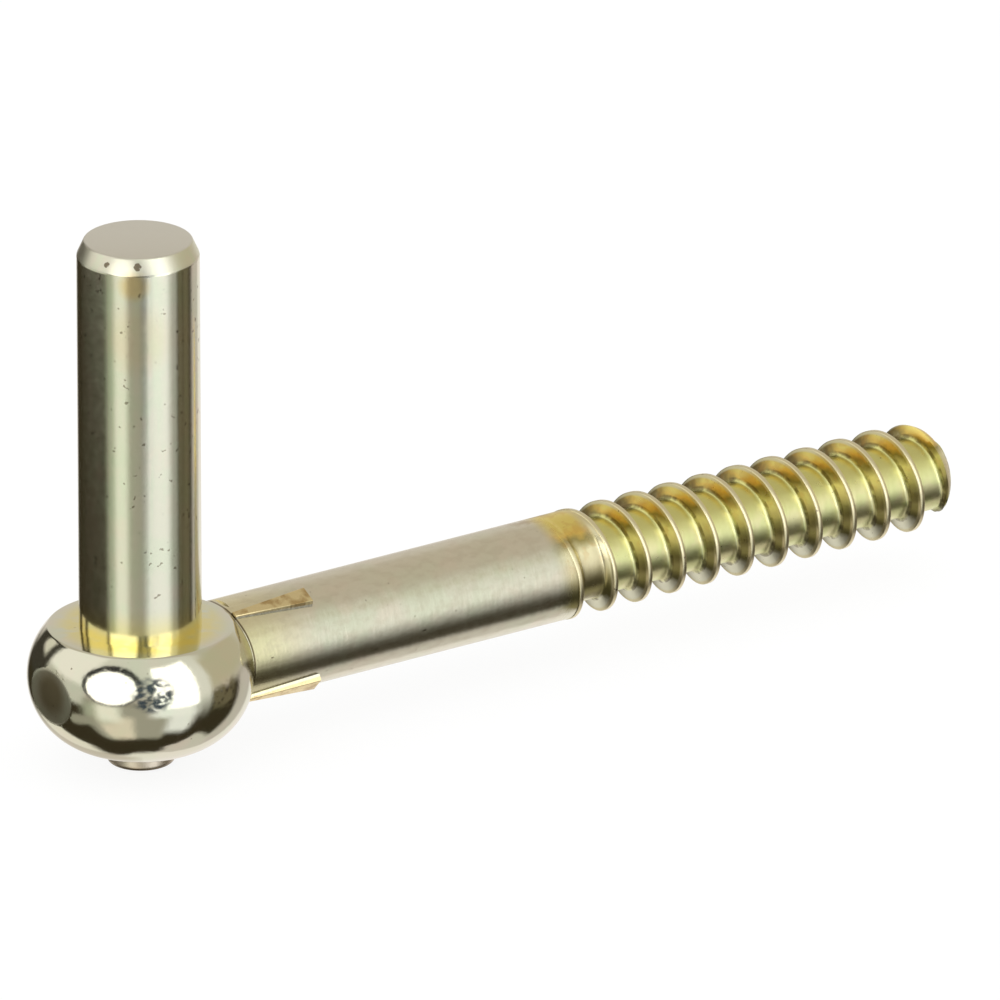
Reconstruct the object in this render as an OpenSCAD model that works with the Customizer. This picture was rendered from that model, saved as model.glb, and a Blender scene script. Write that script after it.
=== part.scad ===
// Screw-in hinge pin: an upright round pin, riveted into the forged head of a coarse
// wood screw, on which the eye of a gate or shutter hinge hangs and turns.
// Millimetres. The origin is on the pin's axis at the face of the head, where the hinge
// eye bears. +Z runs up the pin and +X runs along the shank towards the screw's tip.

/* [Pin] */
// Diameter of the hinge pin
pin_d = 16; // [14:0.5:18]
// Height of the pin above the face of the head
pin_h = 53.6; // [40:0.2:70]
// Width of the chamfer round the top of the pin
chamfer_w = 0.95; // [0.5:0.05:2]
// Height of the chamfer round the top of the pin
chamfer_h = 2.1; // [1:0.1:4]
// Diameter of the tenon that passes through the head
tenon_d = 8; // [6:0.5:9]
// Diameter of the riveted end under the head
rivet_d = 9; // [9:0.1:10.5]
// Height of the riveted end
rivet_h = 2.4; // [1.6:0.1:3]
// Rounding of the riveted end's rim
rivet_edge = 0.8; // [0.3:0.1:1]

/* [Head] */
// Width of the forged head across the pin
head_d = 29.6; // [28:0.2:33]
// Thickness of the forging before its face is cut
head_t = 19.4; // [18:0.2:20]
// Height of the face above the axis of the shank
face_h = 6.8; // [6:0.1:7.5]
// Width of the cut that faces the head
face_d = 26; // [25:0.5:29]
// Distance of the flat pole from the axis of the pin
pole_x = 14.1; // [13.5:0.05:14.5]

/* [Shank] */
// Diameter of the plain shank
shank_d = 14; // [13:0.2:15]
// Distance of the blunt tip from the axis of the pin
reach = 126; // [115:1:140]
// Direction of the first pinch fin behind the head, from -Y upwards
fin_angle = 62; // [40:1:70]
// Angle between the two fins on the near side, opposite which the third stands
fin_spread = 105; // [80:5:125]
// Length of a fin
fin_l = 11.6; // [8:0.2:14]
// Height of a fin above the shank at its outer end
fin_h = 0.75; // [0.5:0.05:1.2]
// Width of a fin's foot at its outer end
fin_w = 3.6; // [2.4:0.2:4]

/* [Thread] */
// Length of the threaded end
thread_l = 60.4; // [50:0.1:70]
// Distance from one turn to the next
pitch = 5.44; // [5:0.02:6]
// Diameter of the core between the turns
core_d = 10; // [9.4:0.1:10.8]
// Rise of the crests above the shank
crest_rise = 0.1; // [0:0.02:0.2]
// Width of a crest, as a share of the pitch
crest_w = 0.13; // [0.08:0.01:0.16]
// Slope of a flank, from square to the shank
flank = 16; // [12:1:25]
// Length of the rounded nose
nose_l = 5.5; // [4:0.5:7]
// Diameter of the flat at the end of the nose
nose_flat_d = 6; // [5:0.5:8]

/* [Hidden] */
$fn = 96;

edge_r = head_t / 2;
core_r = head_d / 2 - edge_r;
head_bottom = face_h + edge_r;
far = 100;

// The shank meets the head inside it, and the fins start where it comes out
shank_start = 2;
fin_start = 12.4;
fin_root = 1;
fin_bevel = 0.6;
fin_start_w = 2;
fin_start_h = 0.45;
fin_slice_l = 0.1;

// The thread is rolled, so its crests stand a little proud of the shank
crest_r = shank_d / 2 + crest_rise;
groove_depth = crest_r - core_d / 2;
flank_w = groove_depth * tan(flank) / pitch;
sides = 36;

// Foot of a flank, rounded into the core: distance from the crest as a share of the
// pitch, and depth as a share of the groove's depth
root_round = 0.35;
foot = [for (u = [-1:1]) [flank_w * (1 + u * root_round), 1 - root_round * (1 - u) ^ 2 / 4]];

// Profile of one turn, from the start of a crest to the start of the next
profile = concat(
    [[0, 0], [crest_w, 0]],
    [for (p = foot) [crest_w + p[0], p[1]]],
    [for (i = [2:-1:0]) [1 - foot[i][0], foot[i][1]]]
);
row = len(profile);

// The surface starts hidden a hair inside the shank, which ends just before the groove
// begins, and it runs on over the flat of the nose, where it closes at the axis
hair = 0.04;
buried_r = shank_d / 2 - hair;
hidden_turns = 1.2;
covered_turns = 1.1;
run_in_turns = 0.6;
thread_start = reach - thread_l;
helix_start = thread_start - (hidden_turns + 0.5) * pitch;
turns = ceil((reach - helix_start) / pitch);
last = turns * sides;
closing_l = 2.5 * pitch;
shank_end = helix_start + covered_turns * pitch;

// The crest rises and the groove deepens from nothing over the first part of a turn
function run_in(n) = let (u = (n / sides - hidden_turns) / run_in_turns)
    u <= 0 ? 0 : u >= 1 ? 1 : u * u * (3 - 2 * u);

// Radius that the rounded nose leaves at x, and inwards over its flat end
function nose_r(x) = let (u = (x - reach + nose_l) / nose_l, flat_r = nose_flat_d / 2)
    u <= 0 ? crest_r
    : u < 1 ? flat_r + (crest_r - flat_r) * sqrt(1 - u * u)
    : flat_r * (1 - (x - reach) / closing_l);

// Point j of the profile at step n along the helix
function helix_point(n, j) =
    let (
        x = helix_start + pitch * (n / sides + profile[j][0]),
        thread_r = crest_r - groove_depth * profile[j][1],
        r = min(buried_r + (thread_r - buried_r) * run_in(n), nose_r(x)),
        a = 360 * n / sides
    )
    [min(x, reach), r * cos(a), r * sin(a)];

function index(n, j) = j < row ? n * row + j : (n + sides) * row;

// Solid screw end: core and thread in one closed skin that follows the helix
module thread() {
    points = [for (n = [0:last], j = [0:row - 1]) helix_point(n, j)];
    start_apex = len(points);
    tip = start_apex + 1;
    first_open = last - sides;
    skin = [
        for (n = [0:last - 1], j = [0:row - 1])
            if (j < row - 1 || n < first_open)
                for (half = [0, 1])
                    half == 0
                        ? [index(n, j), index(n, j + 1), index(n + 1, j + 1)]
                        : [index(n, j), index(n + 1, j + 1), index(n + 1, j)]
    ];
    start = [
        for (n = [0:sides - 1]) [start_apex, index(n, 0), index(n + 1, 0)],
        for (j = [0:row - 1]) [start_apex, index(0, j + 1), index(0, j)]
    ];
    rim = [for (n = [first_open:last]) index(n, row - 1)];
    step = [for (j = [row - 1:-1:0]) index(last, j)];
    end = [
        for (i = [1:sides - 1]) [tip, rim[i + 1], rim[i]],
        [tip, rim[1], rim[sides]],
        for (k = [0:row - 2]) [rim[1], step[k + 1], step[k]],
        [rim[1], rim[0], step[row - 1]]
    ];
    polyhedron(
        concat(points, [[helix_start - 1, 0, 0], [reach, 0, 0]]),
        concat(skin, start, end)
    );
}

// Slice of a pinch fin at a distance along the shank
module fin_slice(x, foot_w, height) {
    base_r = shank_d / 2 - fin_root;
    crown_r = shank_d / 2 + height;
    crown_w = foot_w / 2 - fin_bevel;
    translate([0, 0, x])
        linear_extrude(height = fin_slice_l)
            polygon([
                [-foot_w / 2, base_r],
                [-crown_w, crown_r],
                [crown_w, crown_r],
                [foot_w / 2, base_r]
            ]);
}

// One pinch fin: a low wedge that grows along the shank and ends square
module fin(angle) {
    rotate([180 - angle, 0, 0])
        rotate([0, 90, 0])
            hull() {
                fin_slice(fin_start, fin_start_w, fin_start_h);
                fin_slice(fin_start + fin_l - fin_slice_l, fin_w, fin_h);
            }
}

// Forged pebble of the head, with a flat pole away from the shank
module head() {
    difference() {
        rotate_extrude()
            intersection() {
                union() {
                    translate([core_r, -face_h]) circle(r = edge_r);
                    translate([0, -head_bottom]) square([core_r, head_t]);
                }
                translate([0, -far / 2]) square([far, far]);
            }
        translate([-pole_x - far, -far / 2, -far / 2]) cube(far);
    }
}

module screw_shank() {
    color([0.78, 0.73, 0.52])
        difference() {
            union() {
                head();
                translate([0, 0, -face_h]) {
                    translate([shank_start, 0, 0])
                        rotate([0, 90, 0]) cylinder(d = shank_d, h = shank_end - shank_start);
                    for (turned = [0, fin_spread, fin_spread / 2 + 180]) fin(fin_angle - turned);
                    thread();
                }
            }
            cylinder(d = face_d, h = far);
            translate([0, 0, -far / 2]) cylinder(d = tenon_d, h = far);
        }
}

// Turned pin, its tenon through the head and the end that is hammered over below
module hinge_pin() {
    rivet_bottom = -head_bottom - rivet_h;
    rim_r = rivet_d / 2 - rivet_edge;
    color([0.80, 0.76, 0.56])
        union() {
            rotate_extrude()
                polygon([
                    [0, 0],
                    [0, pin_h],
                    [pin_d / 2 - chamfer_w, pin_h],
                    [pin_d / 2, pin_h - chamfer_h],
                    [pin_d / 2, 0]
                ]);
            translate([0, 0, rivet_bottom + rivet_edge])
                cylinder(d = tenon_d, h = pin_h / 2 - rivet_bottom - rivet_edge);
            rotate_extrude()
                union() {
                    translate([0, rivet_bottom + rivet_edge])
                        square([rivet_d / 2, rivet_h - rivet_edge]);
                    translate([0, rivet_bottom]) square([rim_r, rivet_h]);
                    translate([rim_r, rivet_bottom + rivet_edge]) circle(r = rivet_edge);
                }
        }
}

screw_shank();
hinge_pin();
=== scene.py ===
"""Looks of the screw-in hinge pin.

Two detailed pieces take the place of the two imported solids: a turned pin whose end is
riveted under the head, and a forging with a ball-like head, a plain shank with pinch
fins and a coarse rolled thread. Shapes are worked out in millimetres, in the part's own
frame, and come out in metres.
"""

import logging
import math
from abc import ABC, abstractmethod
from dataclasses import dataclass
from enum import Enum
from typing import Any, Iterable, Mapping, Optional, Sequence, Union

import bmesh
import bpy
from mathutils import Matrix, Vector


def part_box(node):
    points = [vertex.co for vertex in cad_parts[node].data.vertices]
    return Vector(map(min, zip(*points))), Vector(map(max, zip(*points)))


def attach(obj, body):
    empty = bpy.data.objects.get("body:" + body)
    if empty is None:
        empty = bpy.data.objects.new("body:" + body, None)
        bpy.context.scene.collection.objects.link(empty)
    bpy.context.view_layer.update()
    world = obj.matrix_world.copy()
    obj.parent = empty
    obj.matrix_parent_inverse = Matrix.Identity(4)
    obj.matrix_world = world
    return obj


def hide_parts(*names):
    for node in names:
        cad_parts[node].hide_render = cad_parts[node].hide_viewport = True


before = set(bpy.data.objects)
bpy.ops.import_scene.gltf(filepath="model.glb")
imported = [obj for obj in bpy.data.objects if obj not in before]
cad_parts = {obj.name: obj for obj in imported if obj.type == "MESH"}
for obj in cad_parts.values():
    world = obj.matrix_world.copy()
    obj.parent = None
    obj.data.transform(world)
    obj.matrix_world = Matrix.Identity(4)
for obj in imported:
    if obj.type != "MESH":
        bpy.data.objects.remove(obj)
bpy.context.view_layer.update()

LOG = logging.getLogger("screw_in_hinge_pin")
MM = 0.001
FULL_TURN = 2 * math.pi

# Distances, in millimetres, within which points are merged, cut, or found on a level or rim
MERGE_GAP = 1e-4
CUT_GAP = 1e-5
LEVEL_GAP = 1e-3
RIM_GAP = 1e-2

Point = tuple[float, float]
Span = tuple[float, float]
Spot = tuple[float, float, float]
Colour = tuple[float, float, float]
Value = Union["Field", float]
Tint = Union["Field", Colour]


class Slot(Enum):
    """Material slots of the record."""

    FORGING = "plated_forging"
    PIN = "plated_pin"


class Field:
    """A shader value that takes part in Python sums as a number does."""

    def __init__(self, kit: "NodeKit", socket: Optional[bpy.types.NodeSocket]) -> None:
        """Wraps one output socket.

        Args:
            kit: The node kit that adds the nodes of a sum.
            socket: The output socket to wrap, or None for a node that has none.
        """
        self.kit = kit
        self.socket = socket

    def __add__(self, other: Value) -> "Field":
        """Sum."""
        return self.kit.maths("ADD", self, other)

    def __radd__(self, other: float) -> "Field":
        """Sum with a number on the left."""
        return self.kit.maths("ADD", other, self)

    def __sub__(self, other: Value) -> "Field":
        """Difference."""
        return self.kit.maths("SUBTRACT", self, other)

    def __rsub__(self, other: float) -> "Field":
        """Difference from a number on the left."""
        return self.kit.maths("SUBTRACT", other, self)

    def __mul__(self, other: Value) -> "Field":
        """Product."""
        return self.kit.maths("MULTIPLY", self, other)

    def __rmul__(self, other: float) -> "Field":
        """Product with a number on the left."""
        return self.kit.maths("MULTIPLY", other, self)

    def __truediv__(self, other: Value) -> "Field":
        """Quotient."""
        return self.kit.maths("DIVIDE", self, other)


class NodeKit:
    """Adds nodes to one shader tree."""

    def __init__(self, tree: bpy.types.NodeTree) -> None:
        """Empties the tree.

        Args:
            tree: The node tree of a material or of the world.
        """
        self.tree = tree
        tree.nodes.clear()

    def make(
        self,
        kind: str,
        settings: Optional[Mapping[str, Any]] = None,
        inputs: Optional[Mapping[Union[str, int], Any]] = None,
        output: Union[str, int] = 0,
    ) -> Field:
        """Adds one node, its settings first and its sockets after.

        Args:
            kind: The node's type.
            settings: The node's own settings, a ramp's stops under the name "stops".
            inputs: A number, colour or field for each socket, by name or index.
            output: The output socket that is returned.

        Returns:
            The chosen output.
        """
        node = self.tree.nodes.new(kind)
        for name, value in (settings or {}).items():
            if name == "stops":
                self._set_stops(node.color_ramp, value)
            else:
                setattr(node, name, value)
        for name, value in (inputs or {}).items():
            if isinstance(value, Field):
                self.tree.links.new(value.socket, node.inputs[name])
            else:
                node.inputs[name].default_value = value
        return Field(self, node.outputs[output] if len(node.outputs) else None)

    @staticmethod
    def _set_stops(ramp: bpy.types.ColorRamp, stops: Sequence[tuple[float, Colour]]) -> None:
        """Sets a ramp's stops.

        Args:
            ramp: The ramp of a colour ramp node.
            stops: Places and colours, in rising order.
        """
        while len(ramp.elements) < len(stops):
            ramp.elements.new(1.0)
        for element, (place, colour) in zip(ramp.elements, stops):
            element.position = place
            element.color = (*colour, 1.0)

    def maths(self, operation: str, *values: Value) -> Field:
        """One Math node."""
        return self.make("ShaderNodeMath", {"operation": operation}, dict(enumerate(values)))

    def smooth(self, value: Value, low: float, high: float) -> Field:
        """Smooth step between two levels.

        Args:
            value: What is measured.
            low: The level at which the step is 0.
            high: The level at which it is 1, which may be the lesser of the two.

        Returns:
            The step, from 0 to 1.
        """
        settings = {"interpolation_type": "SMOOTHSTEP"}
        if low < high:
            inputs = {"Value": value, "From Min": low, "From Max": high}
        else:
            inputs = {"Value": value, "From Min": high, "From Max": low, "To Min": 1, "To Max": 0}
        return self.make("ShaderNodeMapRange", settings, inputs)

    def between(self, value: Value, low: float, high: float, soft: float) -> Field:
        """Mask that is 1 from low to high, with soft edges of a full width of soft."""
        rise = self.smooth(value, low - soft / 2, low + soft / 2)
        return rise * self.smooth(value, high + soft / 2, high - soft / 2)

    def mix(self, factor: Value, first: Tint, second: Tint) -> Field:
        """Mix of two colours."""
        inputs = {0: factor, 6: self._full(first), 7: self._full(second)}
        return self.make("ShaderNodeMix", {"data_type": "RGBA"}, inputs, 2)

    @staticmethod
    def _full(colour: Tint) -> Union[Field, tuple[float, ...]]:
        """A colour with its alpha, or a field as it is."""
        return colour if isinstance(colour, Field) else (*colour, 1.0)

    def noise(self, place: Field, scale: float, detail: float = 2.0) -> Field:
        """Noise from 0 to 1, with more features to a unit for a greater scale."""
        inputs = {"Vector": place, "Scale": scale, "Detail": detail}
        return self.make("ShaderNodeTexNoise", {}, inputs)

    def stretch(self, vector: Field, factors: Spot) -> Field:
        """A vector with each part scaled."""
        return self.make("ShaderNodeVectorMath", {"operation": "MULTIPLY"}, {0: vector, 1: factors})

    def along(self, vector: Field, axis: Vector) -> Field:
        """How far a vector points along an axis."""
        settings = {"operation": "DOT_PRODUCT"}
        return self.make("ShaderNodeVectorMath", settings, {0: vector, 1: axis}, "Value")

    def near(self, vector: Field, spot: Spot, radius: float) -> Field:
        """Mask that is 1 at a spot and fades out at a radius."""
        inputs = {0: vector, 1: spot}
        apart = self.make("ShaderNodeVectorMath", {"operation": "DISTANCE"}, inputs, "Value")
        return self.smooth(apart, radius, radius * 0.35)

    def reach(self, first: Value, second: Value) -> Field:
        """Length of a vector of two parts."""
        return self.maths("SQRT", first * first + second * second)

    def split(self, vector: Field) -> tuple[Field, Field, Field]:
        """Takes a vector apart.

        Args:
            vector: The vector.

        Returns:
            Its three parts.
        """
        node = self.tree.nodes.new("ShaderNodeSeparateXYZ")
        self.tree.links.new(vector.socket, node.inputs[0])
        return tuple(Field(self, output) for output in node.outputs)


@dataclass(frozen=True)
class Measures:
    """Driving sizes in millimetres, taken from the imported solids."""

    pin_r: float
    pin_top: float
    rivet_bottom: float
    head_r: float
    head_bottom: float
    pole_x: float
    reach: float
    face_h: float = 6.8
    tenon_r: float = 4.0
    shank_r: float = 7.0

    @classmethod
    def from_frame(cls) -> "Measures":
        """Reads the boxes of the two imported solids.

        Returns:
            The sizes that the boxes give.
        """
        pin_low, pin_high = (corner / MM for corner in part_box("hinge_pin"))
        low, high = (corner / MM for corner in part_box("screw_shank"))
        return cls(
            pin_r=pin_high.x,
            pin_top=pin_high.z,
            rivet_bottom=pin_low.z,
            head_r=high.y,
            head_bottom=low.z,
            pole_x=low.x,
            reach=high.x,
        )

    @property
    def edge_r(self) -> float:
        """Radius of the head's rounding."""
        return -self.head_bottom - self.face_h

    @property
    def core_r(self) -> float:
        """Distance of the rounding's centre from the pin's axis."""
        return self.head_r - self.edge_r


def arc(centre: Point, radius: float, start: float, end: float, steps: int) -> list[Point]:
    """Points along an arc.

    Args:
        centre: Its centre.
        radius: Its radius.
        start: Where it starts, in degrees from the first axis.
        end: Where it ends.
        steps: Its number of segments.

    Returns:
        The points, both ends included.
    """
    angles = (math.radians(start + (end - start) * k / steps) for k in range(steps + 1))
    return [(centre[0] + radius * math.cos(a), centre[1] + radius * math.sin(a)) for a in angles]


def revolve(profile: Sequence[Point], steps: int, closed: bool) -> bmesh.types.BMesh:
    """Turns a profile about the Z axis.

    Args:
        profile: Radius and height of each point.
        steps: Number of segments round the axis.
        closed: Whether the last point joins the first.

    Returns:
        A closed mesh with its faces outwards.
    """
    bm = bmesh.new()
    verts = [bm.verts.new((r, 0.0, z)) for r, z in profile]
    pairs = list(zip(verts, verts[1:]))
    if closed:
        pairs.append((verts[-1], verts[0]))
    edges = [bm.edges.new(pair) for pair in pairs]
    bmesh.ops.spin(
        bm, geom=verts + edges, cent=(0, 0, 0), axis=(0, 0, 1), angle=FULL_TURN,
        steps=steps, use_merge=True,
    )
    bmesh.ops.remove_doubles(bm, verts=bm.verts[:], dist=MERGE_GAP)
    bmesh.ops.recalc_face_normals(bm, faces=bm.faces[:])
    return bm


def edges_of(elements: Iterable[Any]) -> list[bmesh.types.BMEdge]:
    """The edges among the elements that an operator gives back."""
    return [e for e in elements if isinstance(e, bmesh.types.BMEdge)]


def ring_at(bm: bmesh.types.BMesh, height: float, radius: float) -> list[bmesh.types.BMEdge]:
    """Finds a ring on a mesh that was turned about the Z axis.

    Args:
        bm: The mesh.
        height: The ring's height.
        radius: Its radius.

    Returns:
        The ring's edges.
    """

    def on_ring(vert: bmesh.types.BMVert) -> bool:
        """Whether a point lies on the ring."""
        return abs(vert.co.z - height) < LEVEL_GAP and abs(vert.co.xy.length - radius) < RIM_GAP

    return [e for e in bm.edges if all(on_ring(v) for v in e.verts)]


def round_edges(
    bm: bmesh.types.BMesh, edges: Sequence[bmesh.types.BMEdge], width: float, segments: int
) -> None:
    """Rounds edges.

    Args:
        bm: The mesh.
        edges: Its edges to round.
        width: How far the rounding reaches on each side.
        segments: Its number of segments.
    """
    bmesh.ops.bevel(
        bm, geom=edges, offset=width, offset_type="OFFSET", affect="EDGES",
        segments=segments, profile=0.5, material=-1,
    )


def slice_off(bm: bmesh.types.BMesh, x: float, side: int) -> list[bmesh.types.BMEdge]:
    """Cuts away what lies past a plane across the X axis.

    Args:
        bm: The mesh.
        x: Where the plane stands.
        side: 1 to cut away what has a greater x, -1 for a lesser one.

    Returns:
        The edges round the opening.
    """
    cut = bmesh.ops.bisect_plane(
        bm, geom=bm.verts[:] + bm.edges[:] + bm.faces[:], dist=CUT_GAP,
        plane_co=(x, 0, 0), plane_no=(side, 0, 0), clear_outer=True,
    )
    return edges_of(cut["geom_cut"])


def to_object(bm: bmesh.types.BMesh, name: str) -> bpy.types.Object:
    """Puts a mesh in the scene as an object at the origin.

    Args:
        bm: The mesh, which is freed.
        name: The object's name.

    Returns:
        The new object.
    """
    mesh = bpy.data.meshes.new(name)
    bm.to_mesh(mesh)
    bm.free()
    made = bpy.data.objects.new(name, mesh)
    bpy.context.scene.collection.objects.link(made)
    return made


def combine(base: bpy.types.Object, tool: bpy.types.Object, operation: str) -> None:
    """Joins or cuts a solid with another, which is used up.

    Args:
        base: The solid that stays.
        tool: The solid that is used up.
        operation: UNION or DIFFERENCE.
    """
    step = base.modifiers.new("combine", "BOOLEAN")
    step.operation = operation
    step.solver = "EXACT"
    step.object = tool
    graph = bpy.context.evaluated_depsgraph_get()
    result = bpy.data.meshes.new_from_object(base.evaluated_get(graph))
    base.modifiers.clear()
    base.data = result
    bpy.data.objects.remove(tool)


def finish_piece(
    piece: bpy.types.Object, node: str, material: bpy.types.Material, crease: float
) -> None:
    """Brings a piece to metres, shades it smooth and puts it in a solid's place.

    Args:
        piece: The object, still in millimetres.
        node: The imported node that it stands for.
        material: Its material.
        crease: Angle in degrees past which an edge stays sharp.
    """
    mesh = piece.data
    mesh.transform(Matrix.Scale(MM, 4))
    mesh.materials.clear()
    mesh.materials.append(material)
    for polygon in mesh.polygons:
        polygon.material_index = 0
        polygon.use_smooth = True
    mesh.set_sharp_from_angle(angle=math.radians(crease))
    mesh.update()
    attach(piece, "root")
    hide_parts(node)
    mesh.calc_loop_triangles()
    LOG.info("%s: %d triangles, replaces %s", piece.name, len(mesh.loop_triangles), node)


@dataclass(frozen=True)
class Plating(ABC):
    """Yellow passivated zinc, brighter or more satin by how the steel below was made."""

    name: str
    measures: Measures
    plain: Colour = (0.81, 0.79, 0.65)
    green: Colour = (0.75, 0.81, 0.62)
    pink: Colour = (0.87, 0.77, 0.64)
    # Pale tint of the painted highlight at the fins' foot
    fin_highlight_cream: Colour = (0.88, 0.82, 0.63)
    straw: Colour = (0.90, 0.85, 0.50)
    gold: Colour = (0.90, 0.80, 0.38)
    amber: Colour = (0.82, 0.62, 0.27)
    # Dark of real pits and nicks, and also of the painted shade at the rivet's rim, the seam and the
    # thread's roots
    soot_and_shade: Colour = (0.14, 0.10, 0.05)
    relief_h: float = 0.012

    def make(self) -> bpy.types.Material:
        """Builds the material.

        Returns:
            The material, on object coordinates.
        """
        material = bpy.data.materials.new(self.name)
        material.use_nodes = True
        kit = NodeKit(material.node_tree)
        place = kit.make("ShaderNodeTexCoord", output="Object")
        place = kit.make("ShaderNodeVectorMath", {"operation": "SCALE"}, {0: place, "Scale": 1 / MM})
        inputs = {
            "Base Color": self.colour(kit, place),
            "Metallic": 1.0,
            "Roughness": self.gloss(kit, place),
            "Normal": self.relief(kit, place),
        }
        shader = kit.make("ShaderNodeBsdfPrincipled", {}, inputs)
        kit.make("ShaderNodeOutputMaterial", {}, {"Surface": shader})
        return material

    def clouds(self, kit: NodeKit, place: Field) -> Field:
        """Plain plating that turns a little green and pink in places."""
        green = kit.smooth(kit.noise(place, 0.16, 3.0), 0.45, 0.65)
        pink = kit.smooth(kit.noise(place, 0.23), 0.5, 0.7)
        return kit.mix(pink * 0.4, kit.mix(green * 0.5, self.plain, self.green), self.pink)

    def specks(self, kit: NodeKit, place: Field, share: float) -> Field:
        """Small dark pits, more of them for a greater share."""
        return kit.smooth(kit.noise(place, 1.1), 0.76 - share, 0.80 - share)

    def unevenness(self, kit: NodeKit, place: Field) -> Field:
        """Soft waves of the plated steel, with finer ones on them."""
        return kit.noise(place, 0.35) + 0.25 * kit.noise(place, 2.2)

    def relief(self, kit: NodeKit, place: Field) -> Field:
        """Bump of the surface."""
        inputs = {"Strength": 1.0, "Distance": self.relief_h * MM, "Height": self.unevenness(kit, place)}
        return kit.make("ShaderNodeBump", {}, inputs)

    @abstractmethod
    def colour(self, kit: NodeKit, place: Field) -> Field:
        """Colour of the plating."""

    @abstractmethod
    def gloss(self, kit: NodeKit, place: Field) -> Field:
        """Roughness of the plating."""


@dataclass(frozen=True)
class PinPlating(Plating):
    """The turned pin: glossy, with streaks up its side, pits, and yellow at its foot.

    The stain, its run and the nicks are given by their radii and their spots, which
    count from the middle of the pin's top. A span is where a tint comes in, from none of
    it to all of it.
    """

    cut_top: Colour = (0.82, 0.80, 0.72)
    cut_top_z: Span = (-0.15, -0.05)
    streak: Spot = (0.6, 0.6, 0.06)
    stain_spot: Spot = (-5.0, -6.3, -3.6)
    stain_r: float = 2.6
    run_spot: Spot = (-4.6, -6.6, -11.0)
    run_r: float = 6.0
    nicks: tuple[tuple[Spot, float], ...] = (((-6.9, -3.0, -1.1), 0.7), ((-4.3, -6.2, -1.0), 0.9))
    chamfer_h: float = 2.1
    foot_z: Span = (5.5, 0.8)
    foot_low_z: Span = (-0.5, -0.1)
    pits_low_z: float = 4.0
    pits_top_z: float = -2.5
    rivet_z: Span = (-10.0, -12.0)
    # Where the painted shade round the riveted end's lower rim comes in, by height and by radius
    rivet_shade_z: Span = (0.7, 0.3)
    rivet_shade_r: Span = (3.4, 3.8)

    def near_top(self, kit: NodeKit, place: Field, spot: Spot, radius: float) -> Field:
        """Mask round a spot that is given from the middle of the pin's top."""
        x, y, z = spot
        return kit.near(place, (x, y, self.measures.pin_top + z), radius)

    def stain(self, kit: NodeKit, place: Field) -> Field:
        """Mask of the amber stain under the chamfer, with its faint run down the side."""
        run = self.near_top(kit, place, self.run_spot, self.run_r)
        return self.near_top(kit, place, self.stain_spot, self.stain_r) + 0.3 * run

    def riveted(self, kit: NodeKit, place: Field) -> Field:
        """Colour of the riveted end, with painted shade round the rim of its lower end.

        Args:
            kit: The material's node kit.
            place: The place in millimetres.

        Returns:
            The colour.
        """
        x, y, z = kit.split(place)
        # Painted shade: the lower rim of the riveted end is darkened as a shadow line
        low = kit.smooth(z - self.measures.rivet_bottom, *self.rivet_shade_z)
        rim = kit.smooth(kit.reach(x, y), *self.rivet_shade_r)
        return kit.mix(low * rim, self.pink, self.soot_and_shade)

    def dark_spots(self, kit: NodeKit, place: Field) -> Field:
        """Where the pin is dark: pits along its side and two nicks on its chamfer.

        Args:
            kit: The material's node kit.
            place: The place in millimetres.

        Returns:
            The mask.
        """
        _, _, z = kit.split(place)
        nicks = sum(self.near_top(kit, place, *nick) for nick in self.nicks)
        nicks = kit.smooth(nicks * kit.noise(place, 1.4, 3.0), 0.30, 0.42)
        side = kit.between(z, self.pits_low_z, self.measures.pin_top + self.pits_top_z, 1.0)
        return kit.maths("MINIMUM", self.specks(kit, place, 0.08) * side * 0.6 + nicks, 0.85)

    def colour(self, kit: NodeKit, place: Field) -> Field:
        """Colour of the pin.

        Args:
            kit: The material's node kit.
            place: The place in millimetres.

        Returns:
            The colour.
        """
        _, _, z = kit.split(place)
        streaks = kit.smooth(kit.noise(kit.stretch(place, self.streak), 1.0, 3.0), 0.45, 0.7)
        tint = kit.mix(streaks * 0.5, self.clouds(kit, place), self.green)
        tint = kit.mix(self.stain(kit, place) * 0.7, tint, self.amber)
        cut = kit.smooth(z - self.measures.pin_top, *self.cut_top_z)
        tint = kit.mix(cut, tint, self.cut_top)
        foot = kit.smooth(z, *self.foot_z) * kit.smooth(z, *self.foot_low_z)
        tint = kit.mix(foot * 0.9, tint, self.gold)
        tint = kit.mix(kit.smooth(z, *self.rivet_z), tint, self.riveted(kit, place))
        return kit.mix(self.dark_spots(kit, place), tint, self.soot_and_shade)

    def gloss(self, kit: NodeKit, place: Field) -> Field:
        """Roughness of the pin, more satin on its cut top and riveted end.

        Args:
            kit: The material's node kit.
            place: The place in millimetres.

        Returns:
            The roughness.
        """
        _, _, z = kit.split(place)
        chamfer_z = self.measures.pin_top - self.chamfer_h
        top = kit.smooth(z, chamfer_z - 0.1, chamfer_z + 0.1)
        rivet = kit.smooth(z, *self.rivet_z)
        return 0.12 + 0.08 * kit.noise(place, 0.9, 3.0) + 0.18 * top + 0.2 * rivet


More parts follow.
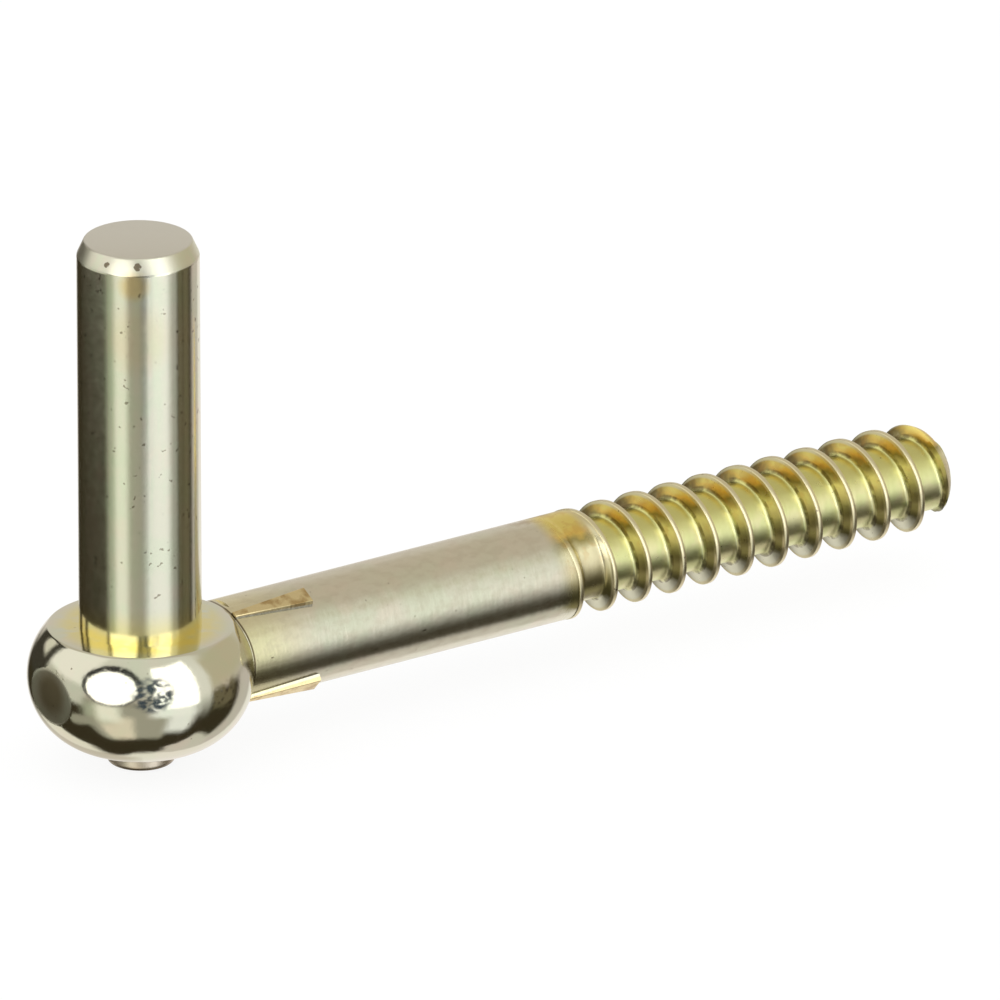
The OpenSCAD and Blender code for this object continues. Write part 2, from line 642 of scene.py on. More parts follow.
@dataclass(frozen=True)
class ForgingPlating(Plating):
    """The forging: bright head, satin shank with gold fins, deep yellow thread.

    The flank bands are painted highlights and shade, a ramp over the levels of the thread,
    from band_range below the shank's axis to as far above it. A span is where a tint comes
    in, from none of it to all of it, and the painted shadow at the seam and the painted
    shade in the roots lie between the ends of theirs. In spans x runs along the shank, y
    to its far side, z up from its axis and r out from it, but the face's count from the
    pin's axis and the face. The spans of the seam and of what is off the head count from
    the head's rounding, and a fin's from the shank's side.
    """

    relief_h: float = 0.02
    off_head_span: Span = (0.02, 0.05)
    # Where the painted shadow along the seam between head and shank lies
    seam_shadow_span: Span = (0.06, 0.3)
    face_r: Span = (12.0, 8.8)
    face_z: Span = (-0.4, -0.1)
    flat_pole: Colour = (0.36, 0.30, 0.17)
    pole_r: float = 4.4
    pole_rise: float = 0.4
    straw_x: Span = (25.0, 13.0)
    # Tan of the painted shade along the top of the plain shank, and where it comes in
    tan: Colour = (0.82, 0.70, 0.54)
    top_shade_z: Span = (3.0, 6.8)
    mottle: Colour = (0.60, 0.53, 0.40)
    smudge: Colour = (0.50, 0.36, 0.20)
    smudge_spot: Spot = (62.0, 2.0, 0.0)
    smudge_r: float = 4.0
    # Gold and brown of the painted shade on the fins' crowns
    fin_shade_gold: Colour = (0.87, 0.72, 0.40)
    fin_shade_brown: Colour = (0.56, 0.40, 0.18)
    fin_x: Span = (30.0, 28.0)
    fin_proud: Span = (0.03, 0.12)
    fin_crown: Span = (0.2, 0.4)
    screw_start: float = 64.0
    core_yellow: Colour = (0.88, 0.85, 0.48)
    core_green: Colour = (0.81, 0.84, 0.42)
    # Olive of the painted shade on top of the core, and where painted shade on the thread's upper side
    # comes in
    core_shade_olive: Colour = (0.78, 0.76, 0.30)
    upper_shade_z: Span = (0.5, 4.5)
    flank_r: Span = (5.2, 5.6)
    # Where the painted shade in the thread's roots lies
    root_r: Span = (5.1, 5.6)
    # Brown of the painted shade on the thread's upper far side, and where it comes in
    far_shade_brown: Colour = (0.30, 0.20, 0.08)
    far_shade_y: Span = (0.8, 3.2)
    # Orange of the patches of painted shade on the thread's upper flanks
    upper_orange_shade: Colour = (0.72, 0.42, 0.12)
    crest: Colour = (0.87, 0.79, 0.52)
    crest_r: Span = (6.5, 6.85)
    crest_top_r: Span = (7.0, 7.06)
    full_turn_x: Span = (67.0, 69.0)
    band_range: float = 6.5
    # Painted highlights and shade: bands of light and dark over the thread's height
    flank_light_and_shade: tuple[tuple[float, Colour], ...] = (
        (0.190, (0.90, 0.89, 0.72)),
        (0.250, (0.34, 0.31, 0.12)),
        (0.370, (0.35, 0.32, 0.13)),
        (0.500, (0.56, 0.49, 0.26)),
        (0.670, (0.78, 0.71, 0.46)),
        (0.790, (0.98, 0.92, 0.60)),
        (0.885, (0.46, 0.39, 0.15)),
        (0.940, (0.95, 0.68, 0.18)),
        (0.985, (0.97, 0.80, 0.24)),
    )

    def from_head(self, kit: NodeKit, place: Field) -> Field:
        """Distance outwards from the head's rounding.

        Args:
            kit: The material's node kit.
            place: The place in millimetres.

        Returns:
            The distance, which is about 0 on the head itself.
        """
        m = self.measures
        x, y, z = kit.split(place)
        beyond = kit.maths("MAXIMUM", kit.reach(x, y) - m.core_r, 0.0)
        return kit.reach(beyond, z + m.face_h) - m.edge_r

    def off_head(self, kit: NodeKit, place: Field) -> Field:
        """Mask of the shank and all that stands out of the head's rounding."""
        return kit.smooth(self.from_head(kit, place), *self.off_head_span)

    def from_axis(self, kit: NodeKit, place: Field) -> Field:
        """Distance from the axis of the shank."""
        _, y, z = kit.split(place)
        return kit.reach(y, z + self.measures.face_h)

    def head(self, kit: NodeKit, place: Field) -> Field:
        """Colour of the head, gold on its face and darker on its flat pole.

        Args:
            kit: The material's node kit.
            place: The place in millimetres.

        Returns:
            The colour.
        """
        m = self.measures
        x, y, z = kit.split(place)
        face = kit.smooth(kit.reach(x, y), *self.face_r) * kit.smooth(z, *self.face_z)
        face = face * kit.smooth(kit.noise(place, 0.25), 0.3, 0.55)
        tint = kit.mix(face, self.clouds(kit, place), self.gold)
        pole = kit.near(place, (m.pole_x, 0.0, self.pole_rise - m.face_h), self.pole_r)
        return kit.mix(pole * 0.9, tint, self.flat_pole)

    def shank(self, kit: NodeKit, place: Field, tint: Field) -> Field:
        """Tints of the plain shank: straw by the head, painted shade in tan along its top, mottled all
        over.

        Args:
            kit: The material's node kit.
            place: The place in millimetres.
            tint: The colour below these tints.

        Returns:
            The colour with them.
        """
        x, _, z = kit.split(place)
        shank = self.off_head(kit, place)
        tint = kit.mix(shank * kit.smooth(x, *self.straw_x) * 0.8, tint, self.straw)
        # Painted shade: tan along the top of the plain shank
        crown = shank * kit.smooth(z + self.measures.face_h, *self.top_shade_z)
        tint = kit.mix(crown * 0.35, tint, self.tan)
        mottle = kit.noise(kit.stretch(place, (0.6, 1.0, 1.0)), 0.9, 4.0)
        tint = kit.mix(shank * kit.smooth(mottle, 0.42, 0.66) * 0.2, tint, self.mottle)
        smudge = kit.near(place, self.smudge_spot, self.smudge_r)
        smudge = smudge * kit.smooth(kit.noise(place, 0.6), 0.4, 0.6)
        return kit.mix(smudge * 0.6, tint, self.smudge)

    def fins(self, kit: NodeKit, place: Field, tint: Field) -> Field:
        """Tints of the pinch fins: a pale painted highlight at the foot, and painted shade in gold and
        brown patches on the crown.

        Args:
            kit: The material's node kit.
            place: The place in millimetres.
            tint: The colour below these tints.

        Returns:
            The colour with them.
        """
        x, _, _ = kit.split(place)
        height = self.from_axis(kit, place) - self.measures.shank_r
        proud = kit.smooth(height, *self.fin_proud) * kit.smooth(x, *self.fin_x)
        fin = self.off_head(kit, place) * proud
        # Painted light and shade on the fins: pale highlight at the foot, gold and brown shade in
        # patches on the crown
        crown = kit.smooth(height, *self.fin_crown)
        patches = kit.smooth(kit.noise(place, 0.5, 3.0), 0.46, 0.66)
        wear_and_shade = kit.mix(patches, self.fin_shade_gold, self.fin_shade_brown)
        return kit.mix(fin, tint, kit.mix(crown, self.fin_highlight_cream, wear_and_shade))

    def core(self, kit: NodeKit, place: Field, upper: Field) -> Field:
        """Colour of the thread's core, between yellow and green, with painted shade in olive at its top.
        """
        cloud = kit.smooth(kit.noise(place, 0.35), 0.42, 0.58)
        return kit.mix(upper, kit.mix(cloud, self.core_yellow, self.core_green), self.core_shade_olive)

    def flanks(self, kit: NodeKit, place: Field, level: Field) -> Field:
        """Colour of the thread's flanks: bands of painted highlight and shade by height, with uneven
        edges.
        """
        uneven = level + 1.8 * (kit.noise(place, 0.5) - 0.5)
        along = uneven / (2 * self.band_range) + 0.5
        return kit.make("ShaderNodeValToRGB", {"stops": self.flank_light_and_shade}, {0: along})

    def screw(self, kit: NodeKit, place: Field) -> Field:
        """Colour of the thread, with painted shade in its roots and on its upper and far side, and with
        wear on its crests.

        Args:
            kit: The material's node kit.
            place: The place in millimetres.

        Returns:
            The colour.
        """
        x, y, z = kit.split(place)
        rho = self.from_axis(kit, place)
        level = z + self.measures.face_h
        # Mask of the thread's upper side, where painted shade is laid
        upper = kit.smooth(level, *self.upper_shade_z)
        on_flank = kit.smooth(rho, *self.flank_r)
        tint = kit.mix(on_flank, self.core(kit, place, upper), self.flanks(kit, place, level))
        patchy = kit.smooth(kit.noise(place, 0.7, 3.0), 0.35, 0.62)
        # Painted shade in the thread's roots, broken into patches
        root_shade = kit.between(rho, *self.root_r, 0.2) * patchy
        tint = kit.mix(root_shade * 0.7, tint, self.soot_and_shade)
        # Painted shade: brown on the thread's upper far side
        far = kit.smooth(y, *self.far_shade_y) * upper * (0.5 + 0.5 * patchy)
        tint = kit.mix(far * 0.8, tint, self.far_shade_brown)
        # Painted shade: orange patches, held to the thread's upper flanks
        upper_orange_shade = kit.smooth(kit.noise(place, 0.55, 3.0), 0.50, 0.62) * upper * on_flank
        tint = kit.mix(upper_orange_shade * 0.3, tint, self.upper_orange_shade)
        rim = kit.smooth(rho, *self.crest_r) * kit.smooth(x, *self.full_turn_x)
        wear_and_shade = kit.maths("MAXIMUM", rim, kit.smooth(rho, *self.crest_top_r))
        return kit.mix(wear_and_shade, tint, self.crest)

    def colour(self, kit: NodeKit, place: Field) -> Field:
        """Colour of the forging, region by region.

        Args:
            kit: The material's node kit.
            place: The place in millimetres.

        Returns:
            The colour.
        """
        x, _, _ = kit.split(place)
        tint = self.shank(kit, place, self.head(kit, place))
        tint = self.fins(kit, place, tint)
        # Painted shadow: a dark line along the seam between head and shank
        seam = kit.between(self.from_head(kit, place), *self.seam_shadow_span, 0.05)
        tint = kit.mix(seam * 0.85, tint, self.soot_and_shade)
        screw = kit.smooth(x, self.screw_start - 3.0, self.screw_start)
        tint = kit.mix(screw, tint, self.screw(kit, place))
        return kit.mix(self.specks(kit, place, 0.02) * 0.7, tint, self.soot_and_shade)

    def gloss(self, kit: NodeKit, place: Field) -> Field:
        """Roughness: bright head, satin shank and pole, softer thread.

        Args:
            kit: The material's node kit.
            place: The place in millimetres.

        Returns:
            The roughness.
        """
        x, _, _ = kit.split(place)
        pole_x = self.measures.pole_x
        pole = kit.smooth(x, pole_x + 0.1, pole_x + 0.03)
        screw = kit.smooth(x, self.screw_start - 2.0, self.screw_start)
        shank = self.off_head(kit, place) * (0.11 + 0.08 * screw)
        return 0.07 + 0.2 * pole + shank + 0.05 * kit.noise(place, 0.8)

    def unevenness(self, kit: NodeKit, place: Field) -> Field:
        """Soft waves all over, with fine lines across the shank."""
        lines = kit.noise(kit.stretch(place, (1.6, 0.25, 0.25)), 1.0, 3.0)
        return super().unevenness(kit, place) + self.off_head(kit, place) * lines * 0.55


@dataclass
class HingePin:
    """The turned pin: chamfered top, tenon through the head, riveted end."""

    measures: Measures
    chamfer_w: float = 0.95
    chamfer_h: float = 2.1
    rivet_r: float = 4.5
    rivet_edge: float = 0.8
    edge: float = 0.22
    edge_segments: int = 4
    crease: float = 30.0
    steps: int = 192

    def profile(self) -> list[Point]:
        """Outline of the pin.

        Returns:
            Radius and height of its points, from its lower end on the axis to its top.
        """
        m = self.measures
        rim = (self.rivet_r - self.rivet_edge, m.rivet_bottom + self.rivet_edge)
        return [
            (0.0, m.rivet_bottom),
            *arc(rim, self.rivet_edge, -90, 0, 8),
            (self.rivet_r, m.head_bottom),
            (m.tenon_r, m.head_bottom),
            (m.tenon_r, 0.0),
            (m.pin_r, 0.0),
            (m.pin_r, m.pin_top - self.chamfer_h),
            (m.pin_r - self.chamfer_w, m.pin_top),
            (0.0, m.pin_top),
        ]

    def build(self) -> bpy.types.Object:
        """Turns the pin and rounds the edges of its chamfer.

        Returns:
            The pin, in millimetres.
        """
        m = self.measures
        bm = revolve(self.profile(), self.steps, closed=False)
        upper = ring_at(bm, m.pin_top, m.pin_r - self.chamfer_w)
        lower = ring_at(bm, m.pin_top - self.chamfer_h, m.pin_r)
        round_edges(bm, upper + lower, self.edge, self.edge_segments)
        return to_object(bm, "turned_pin")

    def dress(self) -> None:
        """Builds the pin and gives it its finish."""
        plating = PinPlating("pin_plating", self.measures, chamfer_h=self.chamfer_h)
        finish_piece(self.build(), "hinge_pin", plating.make(), self.crease)


@dataclass
class Thread:
    """Coarse rolled thread with a blunt nose, its surface following the helix.

    The edge angles are those at which a crest's rounded edge has its points. The flank
    rows are the places of points beside a crest, in widths of a flank.
    """

    measures: Measures
    length: float = 60.4
    pitch: float = 5.44
    core_r: float = 5.0
    crest_rise: float = 0.1
    crest_w: float = 0.13
    crest_edge: float = 0.14
    flank: float = 16.0
    root_round: float = 0.35
    nose_l: float = 5.5
    nose_flat_r: float = 3.0
    hidden_turns: float = 1.2
    covered_turns: float = 1.1
    run_in_turns: float = 0.6
    edge_angles: tuple[float, ...] = (0, 25, 50, 75)
    flank_rows: tuple[float, ...] = (0.3, 0.65, 0.8, 0.93, 1.07, 1.2, 1.35, 1.9)
    share_gap: float = 1e-4
    sides: int = 96

    @property
    def crest_r(self) -> float:
        """Radius of the crests."""
        return self.measures.shank_r + self.crest_rise

    @property
    def flank_w(self) -> float:
        """Width of a flank, as a share of the pitch."""
        return (self.crest_r - self.core_r) * math.tan(math.radians(self.flank)) / self.pitch

    @property
    def helix_start(self) -> float:
        """Where the hidden start of the helix crosses the first direction."""
        return self.measures.reach - self.length - (self.hidden_turns + 0.5) * self.pitch

    @property
    def root(self) -> float:
        """Where the plain shank ends and the helical surface starts."""
        return self.helix_start + self.covered_turns * self.pitch

    @property
    def turns(self) -> int:
        """Number of turns from the hidden start to past the tip."""
        return math.ceil((self.measures.reach - self.helix_start) / self.pitch)

    def stations(self) -> list[float]:
        """Where a turn has its points, close together at the edges of its crest and root.

        Returns:
            Shares of the pitch, from the start of a crest to the start of the next.
        """
        edge = [self.crest_edge / self.pitch * (1 - math.cos(math.radians(a))) for a in self.edge_angles]
        crest = edge + [self.crest_w / 2] + [self.crest_w - e for e in reversed(edge)]
        near = [self.flank_w * row for row in self.flank_rows]
        falling = [self.crest_w + n for n in near]
        rising = [1 - n for n in reversed(near)]
        return crest + falling + [0.5 + self.crest_w / 2] + rising + [1.0]

    def depth(self, share: float) -> float:
        """Depth of the groove below the crests.

        Args:
            share: Share of the pitch past the start of a crest.

        Returns:
            The depth there.
        """
        inside = min(share, self.crest_w - share) * self.pitch
        if inside >= 0:
            short = max(1 - inside / self.crest_edge, 0.0)
            return self.crest_edge * (1 - math.sqrt(1 - short * short))
        beside = min(share - self.crest_w, 1 - share) / self.flank_w - 1
        if beside < -self.root_round:
            sunk = 1 + beside
        elif beside < self.root_round:
            sunk = 1 - self.root_round * (1 - beside / self.root_round) ** 2 / 4
        else:
            sunk = 1.0
        return self.crest_edge + (self.crest_r - self.core_r - self.crest_edge) * sunk

    def rise(self, turn: float) -> float:
        """How much of the thread's form is there, by turns since the helix's start."""
        u = min(max((turn - self.hidden_turns) / self.run_in_turns, 0.0), 1.0)
        return u * u * (3 - 2 * u)

    def nose_radius(self, x: float) -> float:
        """Radius that the rounded nose leaves at x."""
        u = min(max((x - self.measures.reach + self.nose_l) / self.nose_l, 0.0), 1.0)
        return self.nose_flat_r + (self.crest_r - self.nose_flat_r) * math.sqrt(1 - u * u)

    def place(self, point: Vector) -> Vector:
        """Where a point of the smooth rod goes.

        Args:
            point: A point at any radius, with the shank's axis along X.

        Returns:
            The point at the radius of plain shank, thread or nose.
        """
        angle = math.atan2(point.z, point.y) % FULL_TURN
        plain = self.measures.shank_r
        radius = plain
        if point.x > self.root + LEVEL_GAP:
            share = (point.x - self.helix_start) / self.pitch - angle / FULL_TURN
            whole = math.floor(share + self.share_gap)
            formed = self.crest_r - self.depth(max(share - whole, 0.0))
            radius += (formed - plain) * self.rise(whole + angle / FULL_TURN)
        radius = min(radius, self.nose_radius(point.x))
        return Vector((point.x, radius * math.cos(angle), radius * math.sin(angle)))


@dataclass
class ScrewShank:
    """The forging: head, shank, pinch fins and thread in one skin.

    A fin's reach, foot width and rise are given at its inner and its outer end.
    """

    measures: Measures
    thread: Thread
    face_cut_r: float = 13.0
    face_cut_h: float = 6.0
    face_skim: float = 0.002
    shank_start: float = 5.0
    shank_rows: Point = (24.0, 12.0)
    fin_angle: float = 62.0
    fin_spread: float = 105.0
    fin_reach: Point = (12.4, 24.0)
    fin_foot: Point = (2.0, 3.6)
    fin_rise: Point = (0.45, 0.75)
    fin_root: float = 1.0
    fin_bevel: float = 0.6
    fin_edge: float = 0.12
    face_edge: float = 0.25
    pole_edge: float = 0.35
    weld: float = 0.004
    crease: float = 40.0
    face_segments: int = 4
    edge_segments: int = 3
    head_steps: int = 40
    steps: int = 192

    def head(self) -> bpy.types.Object:
        """Builds the pebble of the head, with its bore, its face and its flat pole.

        Returns:
            The head as a solid.
        """
        m = self.measures
        top = math.degrees(math.asin(m.face_h / m.edge_r))
        profile = [
            (m.tenon_r, m.head_bottom),
            *arc((m.core_r, -m.face_h), m.edge_r, -90, top, self.head_steps),
            (m.tenon_r, 0.0),
        ]
        bm = revolve(profile, self.steps, closed=True)
        face_r = m.core_r + m.edge_r * math.cos(math.radians(top))
        round_edges(bm, ring_at(bm, 0.0, face_r), self.face_edge, self.face_segments)
        loop = slice_off(bm, m.pole_x, -1)
        bmesh.ops.contextual_create(bm, geom=loop)
        round_edges(bm, loop, self.pole_edge, self.edge_segments)
        bmesh.ops.recalc_face_normals(bm, faces=bm.faces[:])
        return to_object(bm, "screw_forging")

    def helical_skin(self) -> bmesh.types.BMesh:
        """Spins one turn along the helix and repeats it past the tip.

        Returns:
            An open skin of even radius, with the rows of points that the thread needs.
        """
        t = self.thread
        bm = bmesh.new()
        verts = [bm.verts.new((t.helix_start + t.pitch * s, t.crest_r, 0)) for s in t.stations()]
        edges = [bm.edges.new(pair) for pair in zip(verts, verts[1:])]
        bmesh.ops.spin(
            bm, geom=verts + edges, cent=(0, 0, 0), axis=(1, 0, 0), angle=FULL_TURN,
            steps=t.sides, dvec=(t.pitch / t.sides, 0, 0),
        )
        first = bm.verts[:] + bm.edges[:] + bm.faces[:]
        for turn in range(1, t.turns + 1):
            copied = bmesh.ops.duplicate(bm, geom=first)["geom"]
            copies = [v for v in copied if isinstance(v, bmesh.types.BMVert)]
            bmesh.ops.translate(bm, verts=copies, vec=(turn * t.pitch, 0, 0))
        bmesh.ops.remove_doubles(bm, verts=bm.verts[:], dist=self.weld)
        return bm

    def rod(self) -> bpy.types.Object:
        """Builds shank and thread: a closed rod, whose points are then given their radii.

        Returns:
            The rod as a solid, its axis below the head's face.
        """
        t = self.thread
        bm = self.helical_skin()
        loop = slice_off(bm, t.root, -1)
        for x in (t.root - t.pitch, t.root - 2 * t.pitch, *self.shank_rows, self.shank_start):
            loop = edges_of(bmesh.ops.extrude_edge_only(bm, edges=loop)["geom"])
            for vert in {v for e in loop for v in e.verts}:
                vert.co.x = x
        bmesh.ops.contextual_create(bm, geom=loop)
        bmesh.ops.contextual_create(bm, geom=slice_off(bm, self.measures.reach, 1))
        for vert in bm.verts:
            vert.co = t.place(vert.co)
        bmesh.ops.recalc_face_normals(bm, faces=bm.faces[:])
        bmesh.ops.translate(bm, verts=bm.verts[:], vec=(0, 0, -self.measures.face_h))
        return to_object(bm, "rod")

    def fin(self, angle: float) -> bpy.types.Object:
        """Builds one pinch fin, a low wedge that grows along the shank and ends square.

        Args:
            angle: Its direction, from -Y upwards, in degrees.

        Returns:
            The fin as a solid that reaches into the shank.
        """
        m = self.measures
        bm = bmesh.new()
        bmesh.ops.create_cube(bm, size=1.0)
        for vert in bm.verts:
            end = int(vert.co.x > 0)
            crown = vert.co.z > 0
            half = self.fin_foot[end] / 2 - (self.fin_bevel if crown else 0)
            height = self.fin_rise[end] if crown else -self.fin_root
            vert.co = (self.fin_reach[end], math.copysign(half, vert.co.y), m.shank_r + height)
        crown_edges = [e for e in bm.edges if all(v.co.z > m.shank_r for v in e.verts)]
        round_edges(bm, crown_edges, self.fin_edge, self.edge_segments)
        turn = Matrix.Rotation(math.radians(90 - angle), 4, "X")
        bmesh.ops.transform(bm, matrix=turn, verts=bm.verts[:])
        bmesh.ops.translate(bm, verts=bm.verts[:], vec=(0, 0, -m.face_h))
        return to_object(bm, "fin")

    def face_cutter(self) -> bpy.types.Object:
        """Builds the milling cut that clears the shank's crown beside the face.

        Returns:
            The cutter as a solid, a hair into the face.
        """
        bm = bmesh.new()
        bmesh.ops.create_cone(
            bm, cap_ends=True, segments=self.steps, radius1=self.face_cut_r,
            radius2=self.face_cut_r, depth=self.face_cut_h,
        )
        middle = self.face_cut_h / 2 - self.face_skim
        bmesh.ops.translate(bm, verts=bm.verts[:], vec=(0, 0, middle))
        return to_object(bm, "face_cutter")

    def build(self) -> bpy.types.Object:
        """Joins the parts of the forging.

        Returns:
            The forging, in millimetres.
        """
        rod = self.rod()
        for turned in (0, self.fin_spread, self.fin_spread / 2 + 180):
            combine(rod, self.fin(self.fin_angle - turned), "UNION")
        combine(rod, self.face_cutter(), "DIFFERENCE")
        forging = self.head()
        combine(forging, rod, "UNION")
        return forging

    def dress(self) -> None:
        """Builds the forging and gives it its finish."""
        plating = ForgingPlating("forging_plating", self.measures)
        finish_piece(self.build(), "screw_shank", plating.make(), self.crease)


@dataclass(frozen=True)
class Panel:
    """A patch of the studio that the metal mirrors, by its direction from the object.

    Azimuth is in degrees to the right of the camera, elevation above the horizon. The
    upper and lower edges are as soft as the sides unless fade says otherwise. A broken
    panel shows where the studio's noise is above its level of broken.
    """

    azimuth: tuple[float, float]
    elevation: tuple[float, float]
    light: Colour
    soft: float
    oval: bool = False
    broken: Optional[float] = None
    fade: Optional[float] = None

    def mask(self, kit: NodeKit, azimuth: Field, elevation: Field) -> Field:
        """Where the panel stands, before it is broken.

        Args:
            kit: The world's node kit.
            azimuth: Azimuth of the direction, in degrees to the camera's right.
            elevation: Its elevation in degrees.

        Returns:
            1 on the panel, 0 off it.
        """
        if self.oval:
            return self._within(kit, azimuth, elevation)
        fade = self.soft if self.fade is None else self.fade
        return self._beside(kit, azimuth) * kit.between(elevation, *self.elevation, fade)

    def _within(self, kit: NodeKit, azimuth: Field, elevation: Field) -> Field:
        """Mask of an oval panel.

        Args:
            kit: The world's node kit.
            azimuth: Azimuth of the direction.
            elevation: Its elevation.

        Returns:
            1 inside the oval that fills the panel's azimuths and elevations.
        """
        across = (self.azimuth[1] - self.azimuth[0]) / 2
        tall = (self.elevation[1] - self.elevation[0]) / 2
        u = (azimuth - sum(self.azimuth) / 2) / across
        v = (elevation - sum(self.elevation) / 2) / tall
        soft = self.soft / across / 2
        return kit.smooth(kit.reach(u, v), 1 + soft, 1 - soft)

    def _beside(self, kit: NodeKit, azimuth: Field) -> Value:
        """Mask of a square panel's azimuths.

        Args:
            kit: The world's node kit.
            azimuth: Azimuth of the direction, from -180 to 180.

        Returns:
            1 between the panel's sides, also where they go past 180 or all round.
        """
        low, high = self.azimuth
        if high - low >= 360:
            return 1.0
        beside = kit.between(azimuth, low, high, self.soft)
        if high > 180:
            end = high - 360
            beside = beside + kit.smooth(azimuth, end + self.soft / 2, end - self.soft / 2)
        return beside


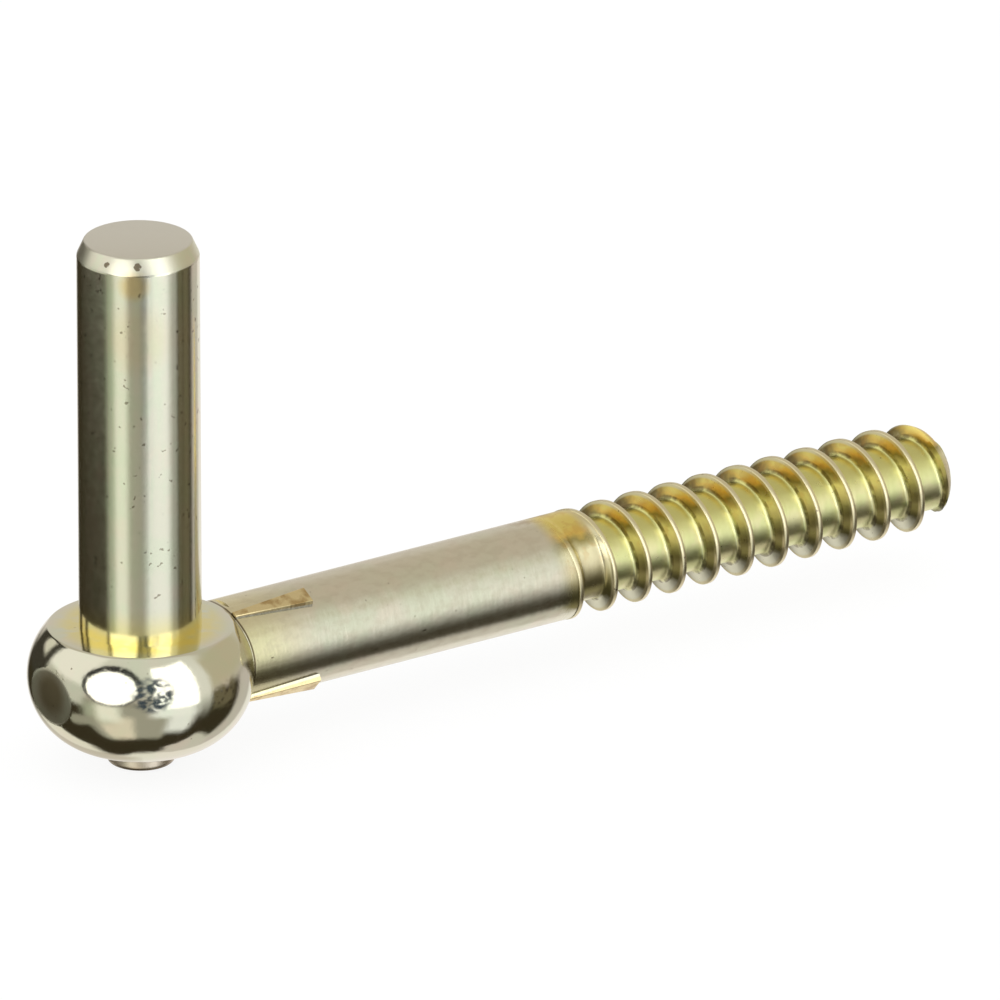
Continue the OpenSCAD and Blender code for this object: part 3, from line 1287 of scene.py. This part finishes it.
@dataclass
class Studio:
    """White floor, the surroundings that the metal mirrors, and the camera."""

    measures: Measures
    azimuth: float = -34.67
    elevation: float = 21.39
    roll: float = -0.18
    distance: float = 6000.0
    sensor: float = 36.0
    field: float = 129.83
    target: Spot = (43.02, -19.95, 14.04)
    clip_end: float = 100000.0
    floor_half: float = 4000.0
    floor_gap: float = 0.02
    paper: float = 0.92
    glow: float = 1.04
    glow_share: float = 0.86
    ambient: Colour = (0.55, 0.51, 0.44)
    white: Colour = (1.0, 1.0, 1.0)
    break_scale: float = 10.0
    break_soft: float = 0.05

    def axes(self) -> tuple[Vector, Vector, Vector]:
        """Directions of the camera before its roll.

        Returns:
            To its right, up and backward.
        """
        a, e = math.radians(self.azimuth), math.radians(self.elevation)
        right = Vector((math.cos(a), math.sin(a), 0))
        back = Vector((math.sin(a) * math.cos(e), -math.cos(a) * math.cos(e), math.sin(e)))
        return right, back.cross(right), back

    def camera(self) -> None:
        """Places the camera at the photograph's viewing angle."""
        data = bpy.data.cameras.new("camera")
        data.lens = self.sensor * self.distance / self.field
        data.sensor_width = self.sensor
        data.clip_end = self.clip_end * MM
        right, up, back = self.axes()
        turn = Matrix((right, up, back)).transposed().to_4x4()
        turn = turn @ Matrix.Rotation(math.radians(self.roll), 4, "Z")
        place = Matrix.Translation((Vector(self.target) + back * self.distance) * MM)
        camera = bpy.data.objects.new("camera", data)
        camera.matrix_world = place @ turn
        bpy.context.scene.collection.objects.link(camera)
        bpy.context.scene.camera = camera

    def floor(self) -> None:
        """Lays a white floor under the part, which can be looked through from below."""
        bm = bmesh.new()
        bmesh.ops.create_grid(bm, x_segments=1, y_segments=1, size=self.floor_half * MM)
        height = (self.measures.rivet_bottom - self.floor_gap) * MM
        bmesh.ops.translate(bm, verts=bm.verts[:], vec=(0, 0, height))
        floor = to_object(bm, "floor")
        floor.visible_glossy = False
        floor.data.materials.append(self.floor_paper())

    def floor_paper(self) -> bpy.types.Material:
        """Builds the floor's material, which glows white for the camera.

        Returns:
            The material.
        """
        material = bpy.data.materials.new("floor_paper")
        material.use_nodes = True
        kit = NodeKit(material.node_tree)
        grey = (self.paper, self.paper, self.paper, 1)
        paper = kit.make("ShaderNodeBsdfDiffuse", {}, {"Color": grey})
        glow = kit.make("ShaderNodeEmission", {}, {"Color": (*self.white, 1), "Strength": self.glow})
        seen = kit.make("ShaderNodeLightPath", output="Is Camera Ray")
        lit = kit.make("ShaderNodeMixShader", {}, {0: seen * self.glow_share, 1: paper, 2: glow})
        clear = kit.make("ShaderNodeBsdfTransparent")
        below = kit.make("ShaderNodeNewGeometry", output="Backfacing")
        shader = kit.make("ShaderNodeMixShader", {}, {0: below, 1: lit, 2: clear})
        kit.make("ShaderNodeOutputMaterial", {}, {"Surface": shader})
        return material

    def panels(self) -> list[Panel]:
        """The studio's panels.

        Returns:
            The panels from back to front, each one covering those before it.
        """
        return [
            # The tent: overhead, left, right and behind
            Panel((-75, 85), (8, 95), (0.72, 0.72, 0.66), 20),
            Panel((-118, -55), (8, 62), (0.95, 0.93, 0.88), 16),
            Panel((75, 150), (0, 40), (0.52, 0.48, 0.36), 14),
            Panel((145, 235), (-5, 30), (0.64, 0.61, 0.56), 20),
            # The dark below the horizon, all round
            Panel((-180, 180), (-95, -6), (0.040, 0.032, 0.018), 10),
            # Pale paper below, behind the part and beside it
            Panel((140, 198), (-80, -4), (0.90, 0.86, 0.82), 16),
            Panel((117, 142), (-65, -4), (0.58, 0.53, 0.50), 12),
            Panel((84, 142), (-78, -54), (0.64, 0.60, 0.56), 8, fade=6),
            Panel((-178, -150), (-65, -30), (0.62, 0.57, 0.50), 14),
            Panel((-152, -120), (-64, -31), (0.85, 0.82, 0.74), 9),
            Panel((-128, -58), (-15, 10), (0.62, 0.62, 0.56), 9),
            # Pale paper below, in front of the part
            Panel((-58, 32), (-64, -6), (0.38, 0.37, 0.31), 12),
            Panel((-46, -8), (-64, -26), (0.78, 0.72, 0.60), 12),
            Panel((-60, -30), (-36, -8), (0.42, 0.45, 0.35), 20),
            Panel((-84, -52), (-42, -29), (0.34, 0.33, 0.27), 7),
            Panel((-46, -21), (-34, -8), (0.90, 0.92, 0.82), 14),
            # A broken shadow on the right, and pale paper to the front right
            Panel((76, 108), (-26, -2), (0.15, 0.13, 0.08), 10, broken=0.45),
            Panel((30, 60), (-52, -20), (0.90, 0.93, 0.93), 14),
            Panel((12, 60), (-27, -5), (0.96, 0.98, 0.98), 18, fade=8),
            # A dark stand with a pale patch, behind on the left
            Panel((-154, -114), (-12, 36), (0.05, 0.045, 0.035), 7),
            Panel((-138, -124), (8, 26), (0.75, 0.70, 0.62), 6),
            # The right softbox and its dim side
            Panel((60, 76), (-18, 46), (0.80, 0.80, 0.76), 8, fade=44),
            Panel((14, 61), (-14, 50), (1.8, 1.8, 1.8), 5),
            # The left softbox in its dark ring, and the dark round the camera
            Panel((-64, 3), (-10, 51), (0.02, 0.02, 0.02), 3, oval=True, broken=0.36),
            Panel((-58, -3), (-8, 42), (1.8, 1.8, 1.75), 3, oval=True),
            Panel((-8, 34), (-18, 36), (0.04, 0.06, 0.09), 8, oval=True, broken=0.47),
        ]

    def mirrored(self, kit: NodeKit) -> Field:
        """Colour of the studio, by the direction that is looked in.

        Args:
            kit: The world's node kit.

        Returns:
            The panels in their places, laid over each other.
        """
        way = kit.make("ShaderNodeTexCoord", output="Generated")
        right, _, back = self.axes()
        towards = Vector((back.x, back.y, 0)).normalized()
        sideways = kit.maths("ARCTAN2", kit.along(way, right), kit.along(way, towards))
        azimuth = sideways * math.degrees(1)
        elevation = kit.maths("ARCSINE", kit.along(way, Vector((0, 0, 1)))) * math.degrees(1)
        scatter = kit.noise(way, self.break_scale, 3.0)
        light: Tint = self.ambient
        for panel in self.panels():
            mask = panel.mask(kit, azimuth, elevation)
            if panel.broken is not None:
                low, high = panel.broken - self.break_soft, panel.broken + self.break_soft
                mask = mask * kit.smooth(scatter, low, high)
            light = kit.mix(mask, light, panel.light)
        return light

    def surroundings(self) -> None:
        """Sets the world: white to the camera and the floor, the studio in the metal."""
        world = bpy.data.worlds.new("studio")
        bpy.context.scene.world = world
        world.use_nodes = True
        world.cycles.sampling_method = "NONE"
        kit = NodeKit(world.node_tree)
        camera = kit.make("ShaderNodeLightPath", output="Is Camera Ray")
        diffuse = kit.make("ShaderNodeLightPath", output="Is Diffuse Ray")
        light = kit.mix(kit.maths("MAXIMUM", camera, diffuse), self.mirrored(kit), self.white)
        shader = kit.make("ShaderNodeBackground", {}, {"Color": light, "Strength": 1.0})
        kit.make("ShaderNodeOutputWorld", {}, {"Surface": shader})


def main() -> None:
    """Builds the studio and the pieces in order and reports each."""
    logging.basicConfig(level=logging.INFO, format="%(name)s: %(message)s")
    measures = Measures.from_frame()
    studio = Studio(measures)
    studio.camera()
    studio.floor()
    studio.surroundings()
    scene = bpy.context.scene
    scene.view_settings.view_transform = "Standard"
    for part in (HingePin(measures), ScrewShank(measures, Thread(measures))):
        part.dress()


if __name__ == "__main__":
    main()
